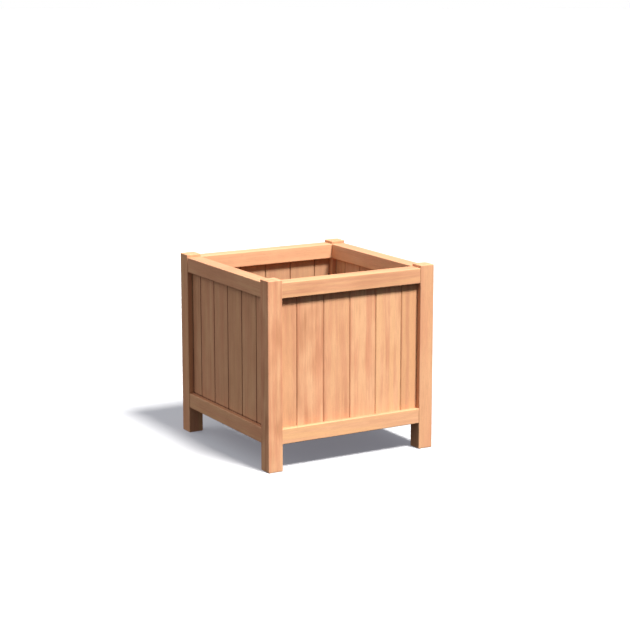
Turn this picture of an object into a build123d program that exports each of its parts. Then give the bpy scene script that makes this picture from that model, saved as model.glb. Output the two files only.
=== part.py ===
"""Square hardwood planter box: a frame of posts and rails, board walls and a slatted floor.

Millimetres, +Z up. The origin is on the ground at the centre of the footprint. The front faces -Y
and the left side faces -X. "Left" and "right" along a wall are as seen from outside it.
"""
from build123d import *
from dataclasses import dataclass
from math import ceil
import os

# ---------------------------------------------------------------- overall size
box_width = 600.0  # over the posts, left to right
box_depth = 600.0  # over the posts, front to back
box_height = 600.0  # ground to the post tops

# ---------------------------------------------------------------- frame
post_size = 50.0  # square section
rail_thickness = 48.0  # through the wall; flush with the inner faces of the posts
rail_height = 49.0
post_rise = 9.0  # post tops above the top rails
ground_gap = 85.0  # ground to the underside of the bottom rails
arris_radius = 2.5  # rounding along the edges of posts and rails
foot_chamfer = 1.5  # keeps the foot of a post from splitting

# ---------------------------------------------------------------- wall boards
board_thickness = 16.0
board_setback = 18.0  # outer face of the posts to the outer face of the boards
board_cover = 95.0  # width that a full board covers, seam to seam
seam_gap = 1.0  # open gap between the shoulders of two boards
seam_bevel = 2.5  # V-joint, on the outer and the inner face
tongue_thickness = 5.0
tongue_length = 6.0
tongue_gap = 0.25  # on each side of a tongue in its groove
housing_depth = 8.0  # groove in posts and rails that holds the boards
housing_gap = 0.25  # on each side of a board in its housing
swell_gap = 1.0  # room for the timber to swell at the end of a tongue or a housing

# ---------------------------------------------------------------- floor
slat_width = 96.0
slat_thickness = 20.0
slat_end_gap = 2.0  # slat end to bottom rail
drain_gap = 3.0  # least gap beside a slat
slat_arris = 1.5
bearer_thickness = 25.0
bearer_height = 28.0
bearer_end_gap = 1.0  # bearer end to side rail

# ---------------------------------------------------------------- dowels and screws
dowel_diameter = 10.0
dowel_in_rail = 32.0
dowel_end_gap = 1.0  # room for glue at each end of a dowel
dowel_spacing_wall = 1.0  # timber between a dowel hole and the crossing dowel
dowel_chamfer = 1.0
floor_screw_diameter = 4.5
floor_screw_bite = 15.0  # length in the bearer
bearer_screw_diameter = 5.0
bearer_screw_bite = 20.0  # length in the rail
head_ratio = 2.0  # head diameter over screw diameter
shank_gap = 0.3  # all round a screw where it only passes through
screw_tip = 4.0  # length of the point
socket_across_flats = 3.0
socket_depth = 1.5

# ---------------------------------------------------------------- derived places
rail_setback = post_size - rail_thickness
post_middle = post_size / 2  # dowels stand on the middle line of the posts
board_middle = board_setback + board_thickness / 2
bottom_rail_under = ground_gap
bottom_rail_top = bottom_rail_under + rail_height
top_rail_top = box_height - post_rise
top_rail_under = top_rail_top - rail_height
board_bottom = bottom_rail_top - housing_depth
board_top = top_rail_under + housing_depth - swell_gap
housing_width = board_thickness + 2 * housing_gap
housing_height = top_rail_under + housing_depth - board_bottom
housing_reach = housing_depth - swell_gap  # how far an end board enters its post
dowel_in_post = post_middle - dowel_diameter / 2 - dowel_end_gap - dowel_spacing_wall
dowel_length = dowel_in_post + dowel_in_rail
floor_top = bottom_rail_top
bearer_top = floor_top - slat_thickness
bearer_middle = bearer_top - bearer_height / 2


@dataclass
class Wall:
    """One side of the planter, with local X along it, local Y into the planter and Z up."""

    name: str
    along: tuple  # left to right, seen from outside
    inward: tuple
    length: float  # over the posts
    reach: float  # centre of the planter to the outer face

    @property
    def clear(self):
        """Length between the posts."""
        return self.length - 2 * post_size

    @property
    def seams(self):
        """Places along the wall where the boards meet, from post to post, centred on the wall."""
        full_boards = ceil(self.clear / board_cover) - 2
        inner = [(i - full_boards / 2) * board_cover for i in range(full_boards + 1)]
        return [-self.clear / 2, *inner, self.clear / 2]

    def point(self, run, depth, height):
        """The point at a run along the wall, a depth in from its outer face, and a height."""
        return Vector(self.along) * run + Vector(self.inward) * (depth - self.reach) + Vector(0, 0, height)

    def plane(self, height):
        return Plane(origin=self.point(0, 0, height), x_dir=self.along, z_dir=(0, 0, 1))


walls = [
    Wall("front", (1, 0, 0), (0, 1, 0), box_width, box_depth / 2),
    Wall("right", (0, 1, 0), (-1, 0, 0), box_depth, box_width / 2),
    Wall("back", (-1, 0, 0), (0, -1, 0), box_width, box_depth / 2),
    Wall("left", (0, -1, 0), (1, 0, 0), box_depth, box_width / 2),
]
post_at_left_end = {
    "front": "post_front_left",
    "right": "post_front_right",
    "back": "post_back_right",
    "left": "post_back_left",
}


# ---------------------------------------------------------------- frame
def dowel_heights():
    """Heights of the dowels: two in the solid part of each rail, clear of its housing."""
    solid = rail_height - housing_depth
    steps = [solid / 4, solid * 3 / 4]
    return [bottom_rail_under + s for s in steps] + [top_rail_top - s for s in steps]


def dowel_planes(wall, end, heights, overrun=0.0):
    """Planes where the dowels at one end of a wall start, with Z along the wall.

    The end is -1 for the left and +1 for the right. The overrun starts them that much sooner.
    """
    if end < 0:
        start = -wall.clear / 2 - dowel_in_post
    else:
        start = wall.clear / 2 - dowel_in_rail
    return [
        Plane(origin=wall.point(start - overrun, post_middle, height), z_dir=wall.along)
        for height in heights
    ]


def make_post(wall, previous_wall):
    """The post at the left end of a wall, which is the right end of the wall before it."""
    with BuildPart() as post:
        with BuildSketch(wall.plane(0)):
            with Locations((post_middle - wall.length / 2, post_middle)):
                Rectangle(post_size, post_size)
        extrude(amount=box_height)
        fillet(post.edges().filter_by(Axis.Z), arris_radius)
        fillet(post.faces().sort_by(Axis.Z)[-1].edges(), arris_radius)
        chamfer(post.faces().sort_by(Axis.Z)[0].edges(), foot_chamfer)

        with BuildSketch(wall.plane(board_bottom)):
            with Locations((-(wall.clear + housing_depth) / 2, board_middle)):
                Rectangle(housing_depth, housing_width)
        with BuildSketch(previous_wall.plane(board_bottom)):
            with Locations(((previous_wall.clear + housing_depth) / 2, board_middle)):
                Rectangle(housing_depth, housing_width)
        extrude(amount=housing_height, mode=Mode.SUBTRACT)

        holes = dowel_planes(wall, -1, dowel_heights(), dowel_end_gap)
        holes += dowel_planes(previous_wall, +1, dowel_heights(), dowel_end_gap)
        with BuildSketch(*holes):
            Circle(dowel_diameter / 2)
        extrude(amount=dowel_length + 2 * dowel_end_gap, mode=Mode.SUBTRACT)
    post.part.label = post_at_left_end[wall.name]
    return post.part


def make_rail(wall, name, underside, housing_floor):
    """A rail between two posts, with a housing for the boards and dowel holes in its ends."""
    with BuildPart() as rail:
        with BuildSketch(wall.plane(underside)):
            with Locations((0, rail_setback + rail_thickness / 2)):
                Rectangle(wall.clear, rail_thickness)
        extrude(amount=rail_height)
        fillet(rail.edges().filter_by(Axis((0, 0, 0), wall.along)), arris_radius)

        with BuildSketch(wall.plane(housing_floor)):
            with Locations((0, board_middle)):
                Rectangle(wall.clear, housing_width)
        extrude(amount=housing_depth, mode=Mode.SUBTRACT)

        heights = [h for h in dowel_heights() if underside < h < underside + rail_height]
        holes = dowel_planes(wall, -1, heights, dowel_end_gap)
        holes += dowel_planes(wall, +1, heights, dowel_end_gap)
        with BuildSketch(*holes):
            Circle(dowel_diameter / 2)
        extrude(amount=dowel_length + 2 * dowel_end_gap, mode=Mode.SUBTRACT)

        if underside == bottom_rail_under and wall.name in bearer_walls:
            with Locations(*bearer_screw_planes(wall)):
                Hole(bearer_screw_diameter / 2, depth=bearer_thickness + bearer_screw_bite)
    rail.part.label = f"{name}_{wall.name}"
    return rail.part


def make_dowels():
    """All the dowels of the frame, each half in a post and half in a rail."""
    with BuildPart() as dowels:
        for wall in walls:
            starts = dowel_planes(wall, -1, dowel_heights())
            starts += dowel_planes(wall, +1, dowel_heights())
            with BuildSketch(*starts):
                Circle(dowel_diameter / 2)
            extrude(amount=dowel_length)
        chamfer(dowels.edges().filter_by(GeomType.CIRCLE), dowel_chamfer)
    dowels.part.label = "frame_dowels"
    return dowels.part


# ---------------------------------------------------------------- wall boards
def make_board(wall, number):
    """One tongue-and-groove board, its foot on the floor of the bottom rail's housing."""
    is_first = number == 1
    is_last = number == len(wall.seams) - 1
    left = wall.seams[number - 1]
    right = wall.seams[number]
    left += -housing_reach if is_first else seam_gap / 2
    right += housing_reach if is_last else -seam_gap / 2
    groove_depth = tongue_length - seam_gap + swell_gap
    groove_width = tongue_thickness + 2 * tongue_gap

    with BuildPart() as board:
        with BuildSketch(wall.plane(board_bottom)) as section:
            with Locations(((left + right) / 2, board_middle)):
                Rectangle(right - left, board_thickness)
            if not is_first:
                chamfer(section.vertices().group_by(Axis.X)[0], seam_bevel)
                with Locations((left + groove_depth / 2, board_middle)):
                    Rectangle(groove_depth, groove_width, mode=Mode.SUBTRACT)
            if not is_last:
                chamfer(section.vertices().group_by(Axis.X)[-1], seam_bevel)
                with Locations((right + tongue_length / 2, board_middle)):
                    Rectangle(tongue_length, tongue_thickness)
        extrude(amount=board_top - board_bottom)
    board.part.label = f"{wall.name}_board_{number}"
    return board.part


# ---------------------------------------------------------------- floor
bearer_walls = ("front", "back")
floor_clear = box_width - 2 * post_size
slat_count = int((floor_clear - drain_gap) / (slat_width + drain_gap))
slat_pitch = slat_width + (floor_clear - slat_count * slat_width) / (slat_count + 1)
slat_places = [(i - (slat_count - 1) / 2) * slat_pitch for i in range(slat_count)]
slat_gap_places = [place + slat_pitch / 2 for place in slat_places[:-1]]
slat_length = box_depth - 2 * (post_size + slat_end_gap)
bearer_inset = post_size + bearer_thickness / 2  # outer face of the wall to the bearer's middle line


def floor_screw_planes(slats):
    """Where floor screws enter the given slats: two over each bearer, with Z out of the head."""
    run = box_depth / 2 - bearer_inset
    return [
        Plane(origin=(place + side * slat_width / 4, end * run, floor_top), z_dir=(0, 0, 1))
        for place in slats
        for side in (-1, +1)
        for end in (-1, +1)
    ]


def bearer_screw_planes(wall):
    """Where the screws enter a bearer: one below each gap between slats, with Z out of the head."""
    inner_face = post_size + bearer_thickness
    return [
        Plane(origin=wall.point(place, inner_face, bearer_middle), z_dir=wall.inward)
        for place in slat_gap_places
    ]


def make_bearer(wall):
    """The strip on the inner face of a bottom rail that carries the slat ends."""
    with BuildPart() as bearer:
        with BuildSketch(wall.plane(bearer_top - bearer_height)):
            with Locations((0, bearer_inset)):
                Rectangle(wall.clear - 2 * bearer_end_gap, bearer_thickness)
        extrude(amount=bearer_height)
        chamfer(bearer.edges().filter_by(Axis((0, 0, 0), wall.along)), slat_arris)

        with Locations(*bearer_screw_planes(wall)):
            CounterSinkHole(
                bearer_screw_diameter / 2 + shank_gap,
                bearer_screw_diameter * head_ratio / 2,
                depth=bearer_thickness,
                counter_sink_angle=90,
            )
        with Locations(*floor_screw_planes(slat_places)):
            Hole(floor_screw_diameter / 2, depth=slat_thickness + floor_screw_bite)
    bearer.part.label = f"floor_bearer_{wall.name}"
    return bearer.part


def make_slat(number):
    """One floor slat, running from front to back on the two bearers."""
    place = slat_places[number - 1]
    with BuildPart() as slat:
        with BuildSketch(Plane.XY.offset(bearer_top)):
            with Locations((place, 0)):
                Rectangle(slat_width, slat_length)
        extrude(amount=slat_thickness)
        fillet(slat.edges().filter_by(Axis.Y), slat_arris)

        with Locations(*floor_screw_planes([place])):
            CounterSinkHole(
                floor_screw_diameter / 2 + shank_gap,
                floor_screw_diameter * head_ratio / 2,
                depth=slat_thickness,
                counter_sink_angle=90,
            )
    slat.part.label = f"floor_slat_{number}"
    return slat.part


def make_screws(label, diameter, length, planes):
    """Countersunk screws with hexagon sockets, one on each plane, driven against its Z."""
    radius = diameter / 2
    head_radius = radius * head_ratio
    with BuildPart() as screw:
        with BuildSketch(Plane.XZ):
            with BuildLine():
                Polyline(
                    (0, 0),
                    (head_radius, 0),
                    (radius, radius - head_radius),
                    (radius, screw_tip - length),
                    (0, -length),
                    close=True,
                )
            make_face()
        revolve(axis=Axis.Z)
        with BuildSketch(Plane.XY):
            RegularPolygon(socket_across_flats / 2, 6, major_radius=False)
        extrude(amount=-socket_depth, mode=Mode.SUBTRACT)
    with BuildPart() as screws:
        with Locations(*planes):
            add(screw.part)
    screws.part.label = label
    return screws.part


# ---------------------------------------------------------------- the whole planter
def make_planter():
    parts = []
    for i, wall in enumerate(walls):
        parts.append(make_post(wall, walls[i - 1]))
    for wall in walls:
        parts.append(make_rail(wall, "top_rail", top_rail_under, top_rail_under))
        parts.append(make_rail(wall, "bottom_rail", bottom_rail_under, board_bottom))
    parts.append(make_dowels())
    for wall in walls:
        for number in range(1, len(wall.seams)):
            parts.append(make_board(wall, number))

    bearing_walls = [wall for wall in walls if wall.name in bearer_walls]
    for wall in bearing_walls:
        parts.append(make_bearer(wall))
    for number in range(1, slat_count + 1):
        parts.append(make_slat(number))
    parts.append(
        make_screws(
            "bearer_screws",
            bearer_screw_diameter,
            bearer_thickness + bearer_screw_bite,
            [plane for wall in bearing_walls for plane in bearer_screw_planes(wall)],
        )
    )
    parts.append(
        make_screws(
            "floor_screws",
            floor_screw_diameter,
            slat_thickness + floor_screw_bite,
            floor_screw_planes(slat_places),
        )
    )
    return parts


os.makedirs("parts", exist_ok=True)
for part in make_planter():
    export_step(part, f"parts/{part.label}.step")
    print(f"{part.label}: {len(part.solids())} solid(s), {part.volume / 1000:.1f} cm3")
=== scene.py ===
"""Looks for the planter box: oiled hardwood on each timber, steel screws, pale floor, studio light.

Metres, +Z up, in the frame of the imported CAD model. Every visible shape is a CAD node that stays in
place and gets a procedural material. The timber is a solid texture: each piece is cut from its own
log, so streaks run along its sides and growth rings show on its ends.
"""
import math
import random

import bpy
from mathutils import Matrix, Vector


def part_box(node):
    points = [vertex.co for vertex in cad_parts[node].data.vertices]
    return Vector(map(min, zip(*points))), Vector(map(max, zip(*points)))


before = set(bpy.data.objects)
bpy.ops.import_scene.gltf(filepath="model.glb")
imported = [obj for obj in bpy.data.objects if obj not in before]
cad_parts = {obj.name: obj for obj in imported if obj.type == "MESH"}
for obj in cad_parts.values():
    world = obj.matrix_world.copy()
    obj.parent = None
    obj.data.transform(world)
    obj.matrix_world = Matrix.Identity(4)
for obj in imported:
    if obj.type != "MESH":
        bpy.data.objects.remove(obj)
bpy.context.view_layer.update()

MM = 1000.0  # millimetres in a metre

# ---------------------------------------------------------------- camera
CAMERA_AIM = Vector((0.0395, 0.0029, 0.4086))
CAMERA_DISTANCE = 5.7557
CAMERA_YAW = math.radians(-30.1345)  # the minus is to the left of straight in front
CAMERA_PITCH = math.radians(11.6245)  # above level
CAMERA_LENS = 100.81
CAMERA_SENSOR = 36.0

# ---------------------------------------------------------------- light
SUN_YAW = math.radians(14.0)  # to the right
SUN_PITCH = math.radians(59.4)
SUN_STRENGTH = 8.4
SUN_WIDTH = math.radians(12.5)
SUN_COLOUR = (1.0, 0.985, 0.95)
SKY_FROM_LEFT = (0.99, 1.03, 1.04)
SKY_FROM_FRONT = (0.21, 0.215, 0.23)
SKY_BELOW = (0.075, 0.075, 0.075)
SKY_BRIGHT_SIDE = (-0.6, 0.8, 0.0)  # the left and the back
SKY_SIDES = (-0.4, 0.9)  # how far towards that side the sky starts and stops getting brighter
SKY_LOW = 0.72  # share of the sky's light near the horizon
SKY_HIGH = 1.35  # and from this rise up
SKY_HIGH_RISE = 0.7
HORIZON = (-0.05, 0.05)  # the rises between which the sky below turns into the sky above

# ---------------------------------------------------------------- floor and backdrop
FLOOR_ALBEDO = (0.42, 0.42, 0.43)
FLOOR_GLOW = (0.156, 0.159, 0.184)
FLOOR_RADIUS = 45.0  # small enough to be inside the clip distance of every view
FLOOR_SIDES = 96
DOME_ROWS = 12
DOME_COLUMNS = 48

# ---------------------------------------------------------------- steel
SCREWS = ("bearer_screws", "floor_screws")
STEEL_DARK = (0.50, 0.50, 0.49)
STEEL_LIGHT = (0.68, 0.68, 0.67)
STEEL_TARNISH = (0.42, 0.39, 0.36)
STEEL_RELIEF = 0.00005  # metres
BRUSHING = (0.12, 4.0)  # millimetres, across and along
TARNISH = (3.0, 3.0)

# ---------------------------------------------------------------- timber
TIMBER_DARK = (0.455, 0.208, 0.110)
TIMBER_MIDDLE = (0.590, 0.295, 0.166)
TIMBER_LIGHT = (0.675, 0.375, 0.215)
TIMBER_PINK = (0.600, 0.262, 0.150)
TIMBER_YELLOW = (0.680, 0.385, 0.190)
# painted shade on the upward faces
TOP_SHADE_TINT = (0.90, 0.82, 0.80)
# painted shade on the inside faces of the walls
INSIDE_SHADE_TINT = (0.80, 0.89, 0.93)
# painted shade for corners and joints
CREVICE_SHADE_TINT = (0.16, 0.12, 0.10)
CREVICE_REACH = 0.007  # metres
TIMBER_RELIEF = 0.00025
TIMBER_SPECULAR = 0.12
END_FACING = (0.6, 0.95)  # the share of its normal along the grain that makes a face end grain
UP_FACING = (0.5, 0.95)  # and the share upwards that gets the painted shade
SEED = 7

# sizes of the grain's features, in millimetres across the grain and along it
RING_BEND = (60.0, 320.0)
RING_WANDER = (14.0, 150.0)
STREAK = (11.0, 240.0)
RIBBON = (4.5, 130.0)
BAND = (17.0, 420.0)
PATCH = (30.0, 130.0)
BLOTCH = (52.0, 95.0)
CLOUD = (75.0, 260.0)
FIBRE = (1.1, 34.0)
PORE = (0.55, 7.0)
RUBBING = (6.0, 24.0)


# millimetres
RING_WIDTH = 6.0
BEND_DEPTH = 9.0
WANDER_DEPTH = 3.0
RUBBED_LEAST = 1.0
RUBBED_MORE = 3.2
RUBBED_BLUR = 1.6

# the shades that have a colour of their own, and how far the features move the shade
PLAIN_SHADE = 0.5
DARK_SHADE = 0.18
LIGHT_SHADE = 0.80
RING_CONTRAST = 0.16
RIBBON_CONTRAST = 0.15
STREAK_CONTRAST = 0.5
BAND_CONTRAST = 0.75
PATCH_CONTRAST = 0.5
BLOTCH_CONTRAST = 0.8

# how much painted shade darkens the joints: most between the boards of the shaded left wall, slight on
# the frame
FRAME_CREVICE_SHADE = 0.12
BOARD_CREVICE_SHADE = {"front": 0.02, "right": 0.4, "back": 0.4, "left": 0.85}

# the pieces whose grain shows in the photograph
OWN_LOOKS = {
    "front_board_1": {"pink": 0.2, "yellow": 0.4, "streaks": 0.3, "tone": -0.06},
    "front_board_2": {"pink": 0.7, "yellow": 0.1, "streaks": 1.3, "tone": -0.03},
    "front_board_3": {"pink": 0.3, "yellow": 0.4, "streaks": 0.6, "tone": 0.03},
    "front_board_4": {"pink": 0.8, "yellow": 0.3, "streaks": 1.0, "tone": 0.20},
    "front_board_5": {"pink": 0.3, "yellow": 0.7, "streaks": 1.2, "tone": 0.21},
    "front_board_6": {"pink": 0.0, "yellow": 0.7, "streaks": 0.25, "tone": -0.11},
    "post_front_left": {"pink": 1.0, "yellow": 0.2, "streaks": 1.5, "tone": -0.05},
    "post_front_right": {"pink": 0.5, "yellow": 0.3, "streaks": 0.4, "tone": 0.12},
    "top_rail_front": {"pink": 0.1, "yellow": 0.7, "streaks": 0.4, "tone": 0.0},
    "bottom_rail_front": {"pink": 0.0, "yellow": 1.0, "streaks": 0.4, "tone": 0.18},
    "top_rail_left": {"pink": 0.6, "yellow": 0.3, "streaks": 0.4, "tone": 0.0},
    "bottom_rail_left": {"pink": 0.5, "yellow": 0.4, "streaks": 0.4, "tone": 0.0},
    "top_rail_back": {"pink": 0.3, "yellow": 0.3, "streaks": 0.4, "tone": 0.14},
    "top_rail_right": {"pink": 0.3, "yellow": 0.4, "streaks": 0.4, "tone": 0.1},
    "back_board_1": {"pink": 0.1, "yellow": 0.3, "tone": -0.1},
    "back_board_2": {"pink": 0.0, "yellow": 0.4, "tone": -0.1},
    "back_board_3": {"pink": 0.1, "yellow": 0.3, "tone": -0.08},
    "back_board_4": {"pink": 0.0, "yellow": 0.4, "tone": -0.12},
    "back_board_5": {"pink": 0.1, "yellow": 0.3, "tone": -0.1},
    "back_board_6": {"pink": 0.0, "yellow": 0.4, "tone": -0.1},
}


class Graph:
    """Short calls that add nodes to a tree. A value given to an input is a number, a tuple or a link."""

    def __init__(self, tree):
        self.tree = tree

    def node(self, kind, inputs=None, **settings):
        node = self.tree.nodes.new("ShaderNode" + kind)
        for name, value in settings.items():
            setattr(node, name, value)
        for socket, value in (inputs or {}).items():
            self.feed(node.inputs[socket], value)
        return node

    def feed(self, socket, value):
        if isinstance(value, bpy.types.NodeSocket):
            self.tree.links.new(value, socket)
        else:
            socket.default_value = value

    def math(self, operation, *values):
        return self.node("Math", dict(enumerate(values)), operation=operation).outputs[0]

    def vector(self, operation, *values):
        return self.node("VectorMath", dict(enumerate(values)), operation=operation).outputs[0]

    def measure(self, operation, *vectors):
        """The number that a vector operation gives, such as LENGTH or DOT_PRODUCT."""
        node = self.node("VectorMath", dict(enumerate(vectors)), operation=operation)
        return node.outputs["Value"]

    def parts(self, vector):
        """The X, Y and Z of a vector."""
        return self.node("SeparateXYZ", {0: vector}).outputs

    def step(self, value, low, high, to_low=0.0, to_high=1.0):
        """A smooth step of the value from low to high."""
        inputs = {"Value": value, "From Min": low, "From Max": high, "To Min": to_low, "To Max": to_high}
        return self.node("MapRange", inputs, interpolation_type="SMOOTHSTEP").outputs[0]

    def noise(self, place, size, detail=2.0, roughness=0.5):
        """Noise with features of that size: across the grain, and along it."""
        across, along = size
        scaled = self.vector("MULTIPLY", place, (1 / across, 1 / across, 1 / along))
        inputs = {"Vector": scaled, "Scale": 1.0, "Detail": detail, "Roughness": roughness}
        return self.node("TexNoise", inputs).outputs["Fac"]

    def vary(self, value, noise, contrast):
        """The value moved up and down by noise that is about 0.5 on average."""
        return self.math("MULTIPLY_ADD", self.math("SUBTRACT", noise, 0.5), contrast, value)

    def ramp(self, value, stops):
        node = self.node("ValToRGB", {0: value})
        elements = node.color_ramp.elements
        while len(elements) < len(stops):
            elements.new(0.5)
        for element, (position, colour) in zip(elements, stops):
            element.position = position
            element.color = (*colour, 1.0)
        return node.outputs["Color"]

    def mix(self, share, first, second, blend="MIX"):
        node = self.node("Mix", data_type="RGBA", blend_type=blend)
        for socket, value in (("Factor", share), ("A", first), ("B", second)):
            matches = [s for s in node.inputs if s.name == socket and s.enabled]
            if isinstance(value, tuple):
                value = (*value, 1.0)
            self.feed(matches[0], value)
        return [s for s in node.outputs if s.enabled][0]

    def tint(self, colour, tint):
        return self.mix(1.0, colour, tint, "MULTIPLY")

    def grey(self, value):
        return self.node("CombineColor", {0: value, 1: value, 2: value}).outputs[0]


def new_group(name, inputs, outputs):
    """An empty node group with those sockets, as (tree, its inputs by name, a Graph)."""
    tree = bpy.data.node_groups.new(name, "ShaderNodeTree")
    for label, kind in inputs.items():
        tree.interface.new_socket(label, in_out="INPUT", socket_type="NodeSocket" + kind)
    for label, kind in outputs.items():
        tree.interface.new_socket(label, in_out="OUTPUT", socket_type="NodeSocket" + kind)
    return tree, tree.nodes.new("NodeGroupInput").outputs, Graph(tree)


def new_material(name):
    """A material with nodes, as (material, a Graph, its shader)."""
    material = bpy.data.materials.new(name)
    material.use_nodes = True
    tree = material.node_tree
    return material, Graph(tree), tree.nodes["Principled BSDF"]


def dress(node, material):
    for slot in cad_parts[node].material_slots:
        slot.material = material


# ---------------------------------------------------------------- timber
def growth_rings(g, given, place):
    """Rings around the pith, bent a little along the log."""
    across = g.vector("MULTIPLY", g.vector("SUBTRACT", given["Place"], given["Pith"]), (1, 1, 0))
    radius = g.measure("LENGTH", across)
    radius = g.math("MULTIPLY_ADD", g.noise(place, RING_BEND), BEND_DEPTH, radius)
    radius = g.math("MULTIPLY_ADD", g.noise(place, RING_WANDER), WANDER_DEPTH, radius)
    own_shift = g.parts(given["Shift"])["X"]
    ring = g.math("ADD", g.math("DIVIDE", radius, RING_WIDTH), own_shift)
    inputs = {"W": ring, "Scale": 1.0, "Detail": 3.0, "Roughness": 0.65}
    return g.node("TexNoise", inputs, noise_dimensions="1D").outputs["Fac"]


def plain_colour(g, given, place, rings, streak, ribbon):
    """The timber's colour by its shade, with some of it pink and some yellow."""
    band = g.noise(place, BAND)
    patch = g.noise(place, PATCH, detail=1.5, roughness=0.45)
    blotch = g.noise(place, BLOTCH, detail=1.0)
    cloud = g.noise(place, CLOUD, detail=1.0)

    shade = g.vary(PLAIN_SHADE, rings, RING_CONTRAST)
    shade = g.vary(shade, ribbon, RIBBON_CONTRAST)
    streaked = g.vary(0.0, streak, STREAK_CONTRAST)
    streaked = g.vary(streaked, band, BAND_CONTRAST)
    streaked = g.vary(streaked, patch, PATCH_CONTRAST)
    streaked = g.vary(streaked, blotch, BLOTCH_CONTRAST)
    shade = g.math("MULTIPLY_ADD", streaked, given["Streaks"], shade)
    shade = g.math("ADD", shade, given["Tone"])
    stops = [(DARK_SHADE, TIMBER_DARK), (PLAIN_SHADE, TIMBER_MIDDLE), (LIGHT_SHADE, TIMBER_LIGHT)]
    colour = g.ramp(shade, stops)

    pink = g.step(g.math("ADD", cloud, band), 0.85, 1.15, 1.0, 0.0)
    pink = g.math("MULTIPLY", pink, given["Pink"])
    colour = g.mix(pink, colour, g.mix(0.6, colour, TIMBER_PINK))
    yellow = g.math("MULTIPLY", g.step(band, 0.40, 0.62), given["Yellow"])
    return g.mix(yellow, colour, g.mix(0.7, colour, TIMBER_YELLOW))


def open_pores(g, place, rings):
    """Short dashes on the sides and dots on the ends, fainter in the pale rings."""
    pore = g.step(g.noise(place, PORE, detail=0.0), 0.66, 0.76)
    return g.math("MULTIPLY", pore, g.step(rings, 0.35, 0.65, 1.0, 0.35))


def rubbed_edges(g, given, place):
    """1 along the edges of a piece, and 0 past a ragged limit."""
    inward = g.parts(g.vector("SUBTRACT", given["Half size"], g.vector("ABSOLUTE", given["Place"])))
    x, y, z = inward["X"], inward["Y"], inward["Z"]
    nearest = g.math("MINIMUM", g.math("MINIMUM", x, y), z)
    farthest = g.math("MAXIMUM", g.math("MAXIMUM", x, y), z)
    total = g.math("ADD", g.math("ADD", x, y), z)
    second = g.math("SUBTRACT", g.math("SUBTRACT", total, nearest), farthest)
    ragged = g.noise(place, RUBBING, detail=3.0, roughness=0.7)
    reach = g.math("MULTIPLY_ADD", ragged, RUBBED_MORE, RUBBED_LEAST)
    return g.step(g.math("SUBTRACT", reach, second), 0.0, RUBBED_BLUR)


def timber_group():
    """Solid hardwood, in millimetres from the piece's centre with Z along the grain."""
    vectors = ("Place", "Facing", "Half size", "Pith", "Shift")
    numbers = ("Pink", "Yellow", "Streaks", "Tone", "Crevice shade", "Upward", "Inside")
    inputs = {**dict.fromkeys(vectors, "Vector"), **dict.fromkeys(numbers, "Float")}
    outputs = {"Color": "Color", "Roughness": "Float", "Height": "Float"}
    tree, given, g = new_group("timber", inputs, outputs)
    place = g.vector("ADD", given["Place"], given["Shift"])

    rings = growth_rings(g, given, place)
    streak = g.noise(place, STREAK, detail=3.0, roughness=0.55)
    ribbon = g.noise(place, RIBBON)
    fibre = g.noise(place, FIBRE, detail=3.0, roughness=0.6)
    pore = open_pores(g, place, rings)
    colour = plain_colour(g, given, place, rings, streak, ribbon)
    colour = g.tint(colour, g.grey(g.step(fibre, 0.25, 0.75, 0.90, 1.07)))
    colour = g.mix(g.math("MULTIPLY", pore, 0.45), colour, TIMBER_DARK)

    # the rings are plainest on the ends
    end = g.step(g.parts(g.vector("ABSOLUTE", given["Facing"]))["Z"], *END_FACING)
    colour = g.mix(end, colour, g.tint(colour, g.grey(g.step(rings, 0.3, 0.7, 0.97, 1.16))))

    # painted shade: the upward faces a little darker, and the inside faces of the walls darker and less
    # red
    top_shade = g.step(given["Upward"], *UP_FACING)
    colour = g.mix(top_shade, colour, g.tint(colour, TOP_SHADE_TINT))
    colour = g.mix(given["Inside"], colour, g.tint(colour, INSIDE_SHADE_TINT))

    # handling rubs the edges paler
    edge = g.math("MULTIPLY", rubbed_edges(g, given, place), 0.6)
    colour = g.mix(edge, colour, g.mix(0.40, colour, TIMBER_LIGHT))

    # painted shade: corners and joints are darkened by how closed in they are
    open_share = g.node("AmbientOcclusion", {"Distance": CREVICE_REACH}, samples=8).outputs["AO"]
    crevice_shade = g.math("MULTIPLY", g.step(open_share, 0.60, 1.0, 1.0, 0.0), given["Crevice shade"])
    colour = g.mix(crevice_shade, colour, g.tint(colour, CREVICE_SHADE_TINT))

    roughness = g.step(streak, 0.3, 0.7, 0.60, 0.48)
    roughness = g.math("MULTIPLY_ADD", pore, 0.15, roughness)
    roughness = g.math("MULTIPLY_ADD", end, 0.12, roughness)
    height = g.math("MULTIPLY_ADD", fibre, 0.5, g.math("MULTIPLY", pore, -1.0))
    height = g.math("MULTIPLY_ADD", ribbon, 0.6, height)

    result = tree.nodes.new("NodeGroupOutput")
    g.feed(result.inputs["Color"], colour)
    g.feed(result.inputs["Roughness"], roughness)
    g.feed(result.inputs["Height"], height)
    return tree


AXES_BY_GRAIN = {"x": "YZX", "y": "ZXY", "z": "XYZ"}  # the order of axes that puts the grain last


def grain_of(node):
    """The axis a piece is longest along, which is the way its grain runs."""
    if node == "frame_dowels":
        return "x"
    low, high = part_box(node)
    size = high - low
    return "xyz"[max(range(3), key=lambda axis: size[axis])]


def crevice_shade_of(node):
    """How much painted shade darkens a piece's corners and joints."""
    if "_board_" in node:
        return BOARD_CREVICE_SHADE[node.split("_")[0]]
    return FRAME_CREVICE_SHADE


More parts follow.
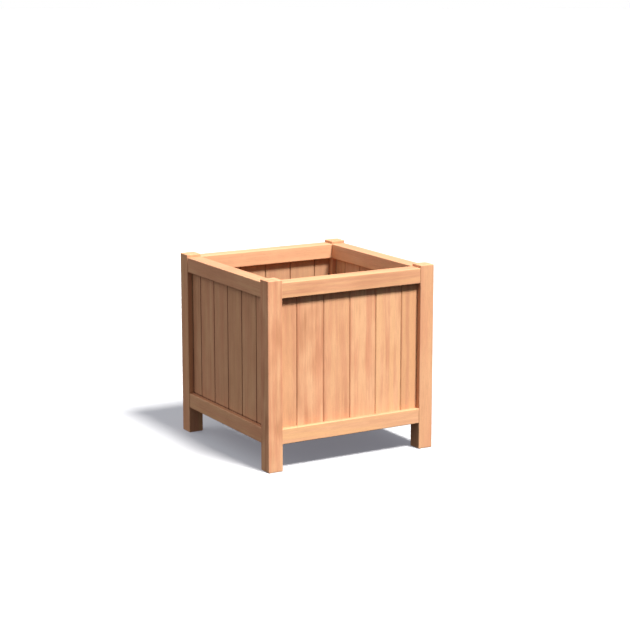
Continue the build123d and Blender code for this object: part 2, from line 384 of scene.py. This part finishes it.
def wood(node, timber, shift, pith, pink, yellow, streaks, tone):
    """Gives a CAD node timber of its own. The pith is millimetres from the middle of the piece."""
    order = AXES_BY_GRAIN[grain_of(node)]
    low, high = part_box(node)
    middle = tuple((low + high) / 2 * MM)
    half = (high - low) / 2 * MM
    material, g, shader = new_material(f"timber_{node}")
    coordinates = g.node("TexCoord").outputs
    place, normal = coordinates["Object"], coordinates["Normal"]

    def along_grain(vector):
        parts = g.parts(vector)
        return g.node("CombineXYZ", dict(enumerate(parts[axis] for axis in order))).outputs[0]

    outward = g.measure("DOT_PRODUCT", place, normal)
    values = {
        "Place": along_grain(g.vector("SUBTRACT", g.vector("MULTIPLY", place, (MM, MM, MM)), middle)),
        "Facing": along_grain(normal),
        "Half size": tuple(half["XYZ".index(axis)] for axis in order),
        "Pith": (*pith, 0.0),
        "Shift": shift,
        "Pink": pink,
        "Yellow": yellow,
        "Streaks": streaks,
        "Tone": tone,
        "Crevice shade": crevice_shade_of(node),
        "Upward": g.parts(normal)["Z"],
        "Inside": g.step(outward, -0.2, -0.1, 1.0, 0.0) if "_board_" in node else 0.0,
    }
    group = g.node("Group")
    group.node_tree = timber
    for socket, value in values.items():
        g.feed(group.inputs[socket], value)
    made = group.outputs
    bump = g.node("Bump", {"Height": made["Height"], "Strength": 0.35, "Distance": TIMBER_RELIEF})
    g.feed(shader.inputs["Base Color"], made["Color"])
    g.feed(shader.inputs["Roughness"], made["Roughness"])
    g.feed(shader.inputs["Normal"], bump.outputs["Normal"])
    shader.inputs["Specular IOR Level"].default_value = TIMBER_SPECULAR
    dress(node, material)


def steel(node):
    """Brushed stainless steel for the screws."""
    material, g, shader = new_material("steel_" + node)
    place = g.vector("MULTIPLY", g.node("TexCoord").outputs["Object"], (MM, MM, MM))
    brushing = g.noise(place, BRUSHING, detail=2.0, roughness=0.6)
    tarnish = g.noise(place, TARNISH, detail=3.0)
    colour = g.ramp(brushing, [(0.3, STEEL_DARK), (0.7, STEEL_LIGHT)])
    colour = g.mix(g.step(tarnish, 0.5, 0.75, 0.0, 0.4), colour, STEEL_TARNISH)
    g.feed(shader.inputs["Base Color"], colour)
    g.feed(shader.inputs["Roughness"], g.step(brushing, 0.2, 0.8, 0.26, 0.42))
    bump = g.node("Bump", {"Height": brushing, "Strength": 0.2, "Distance": STEEL_RELIEF})
    g.feed(shader.inputs["Normal"], bump.outputs["Normal"])
    shader.inputs["Metallic"].default_value = 1.0
    dress(node, material)


def dress_planter():
    """Steel for the screws, and for every timber its own grain, tone and pith."""
    chance = random.Random(SEED)
    timber = timber_group()
    for node in sorted(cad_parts):
        if node in SCREWS:
            steel(node)
            continue
        look = {
            "pith": (chance.uniform(-120, 120), chance.choice((-1, 1)) * chance.uniform(30, 160)),
            "pink": chance.uniform(0.1, 0.9),
            "yellow": chance.uniform(0.0, 0.6),
            "streaks": chance.uniform(0.25, 0.8),
            "tone": chance.uniform(-0.06, 0.06),
            "shift": tuple(chance.uniform(-5000, 5000) for _ in range(3)),
        }
        look.update(OWN_LOOKS.get(node, {}))
        wood(node, timber, **look)


# ---------------------------------------------------------------- stage
def direction(yaw, pitch):
    """The unit vector turned that far right of straight in front, and raised that far above level."""
    level = math.cos(pitch)
    return Vector((math.sin(yaw) * level, -math.cos(yaw) * level, math.sin(pitch)))


def link(name, data):
    made = bpy.data.objects.new(name, data)
    bpy.context.scene.collection.objects.link(made)
    return made


def stage_mesh(name, vertices, faces):
    """A part of the stage that throws no light on the planter."""
    mesh = bpy.data.meshes.new(name)
    mesh.from_pydata(vertices, [], faces)
    made = link(name, mesh)
    made.visible_diffuse = False
    made.visible_glossy = False
    return made


def floor():
    """A matt pale disc that takes shadows and glows a little, so that they aren't too dark."""
    turns = [2 * math.pi * i / FLOOR_SIDES for i in range(FLOOR_SIDES)]
    rim = [FLOOR_RADIUS * Vector((math.cos(turn), math.sin(turn), 0.0)) for turn in turns]
    disc = stage_mesh("floor", rim, [tuple(range(FLOOR_SIDES))])
    material, _, shader = new_material("floor")
    shader.inputs["Base Color"].default_value = (*FLOOR_ALBEDO, 1.0)
    shader.inputs["Roughness"].default_value = 0.9
    shader.inputs["Specular IOR Level"].default_value = 0.0
    shader.inputs["Emission Color"].default_value = (*FLOOR_GLOW, 1.0)
    shader.inputs["Emission Strength"].default_value = 1.0
    disc.data.materials.append(material)


def backdrop():
    """A plain white dome far behind everything, seen by the camera only."""
    vertices = [
        FLOOR_RADIUS * direction(2 * math.pi * column / DOME_COLUMNS, math.pi / 2 * row / DOME_ROWS)
        for row in range(DOME_ROWS + 1)
        for column in range(DOME_COLUMNS)
    ]
    faces = []
    for row in range(DOME_ROWS):
        low, high = row * DOME_COLUMNS, (row + 1) * DOME_COLUMNS
        for column in range(DOME_COLUMNS):
            following = (column + 1) % DOME_COLUMNS
            faces.append((low + column, low + following, high + following, high + column))
    dome = stage_mesh("backdrop", vertices, faces)
    material, g, shader = new_material("backdrop")
    g.tree.nodes.remove(shader)
    g.feed(g.tree.nodes["Material Output"].inputs["Surface"], g.node("Emission").outputs[0])
    dome.data.materials.append(material)
    dome.visible_shadow = False
    dome.visible_transmission = False


def sky():
    """Soft light from above, stronger from the left and the back than from the front."""
    world = bpy.data.worlds.new("sky")
    bpy.context.scene.world = world
    world.use_nodes = True
    g = Graph(world.node_tree)
    towards = g.node("TexCoord").outputs["Generated"]
    side = g.measure("DOT_PRODUCT", towards, SKY_BRIGHT_SIDE)
    rise = g.parts(towards)["Z"]
    above = g.mix(g.step(side, *SKY_SIDES), SKY_FROM_FRONT, SKY_FROM_LEFT)
    above = g.tint(above, g.grey(g.step(rise, 0.0, SKY_HIGH_RISE, SKY_LOW, SKY_HIGH)))
    background = world.node_tree.nodes["Background"]
    g.feed(background.inputs["Color"], g.mix(g.step(rise, *HORIZON), SKY_BELOW, above))
    background.inputs["Strength"].default_value = 1.0


def sun():
    light = bpy.data.lights.new("sun", "SUN")
    light.energy = SUN_STRENGTH
    light.angle = SUN_WIDTH
    light.color = SUN_COLOUR
    link("sun", light).rotation_euler = direction(SUN_YAW, SUN_PITCH).to_track_quat("Z", "Y").to_euler()


def camera():
    """A camera at the photograph's viewing angle."""
    data = bpy.data.cameras.new("camera")
    data.sensor_width = CAMERA_SENSOR
    data.lens = CAMERA_LENS
    data.clip_end = 2 * FLOOR_RADIUS
    away = direction(CAMERA_YAW, CAMERA_PITCH)
    eye = link("camera", data)
    eye.location = CAMERA_AIM + away * CAMERA_DISTANCE
    eye.rotation_euler = away.to_track_quat("Z", "Y").to_euler()
    bpy.context.scene.camera = eye


dress_planter()
floor()
backdrop()
sky()
sun()
camera()
bpy.context.scene.view_settings.view_transform = "Standard"
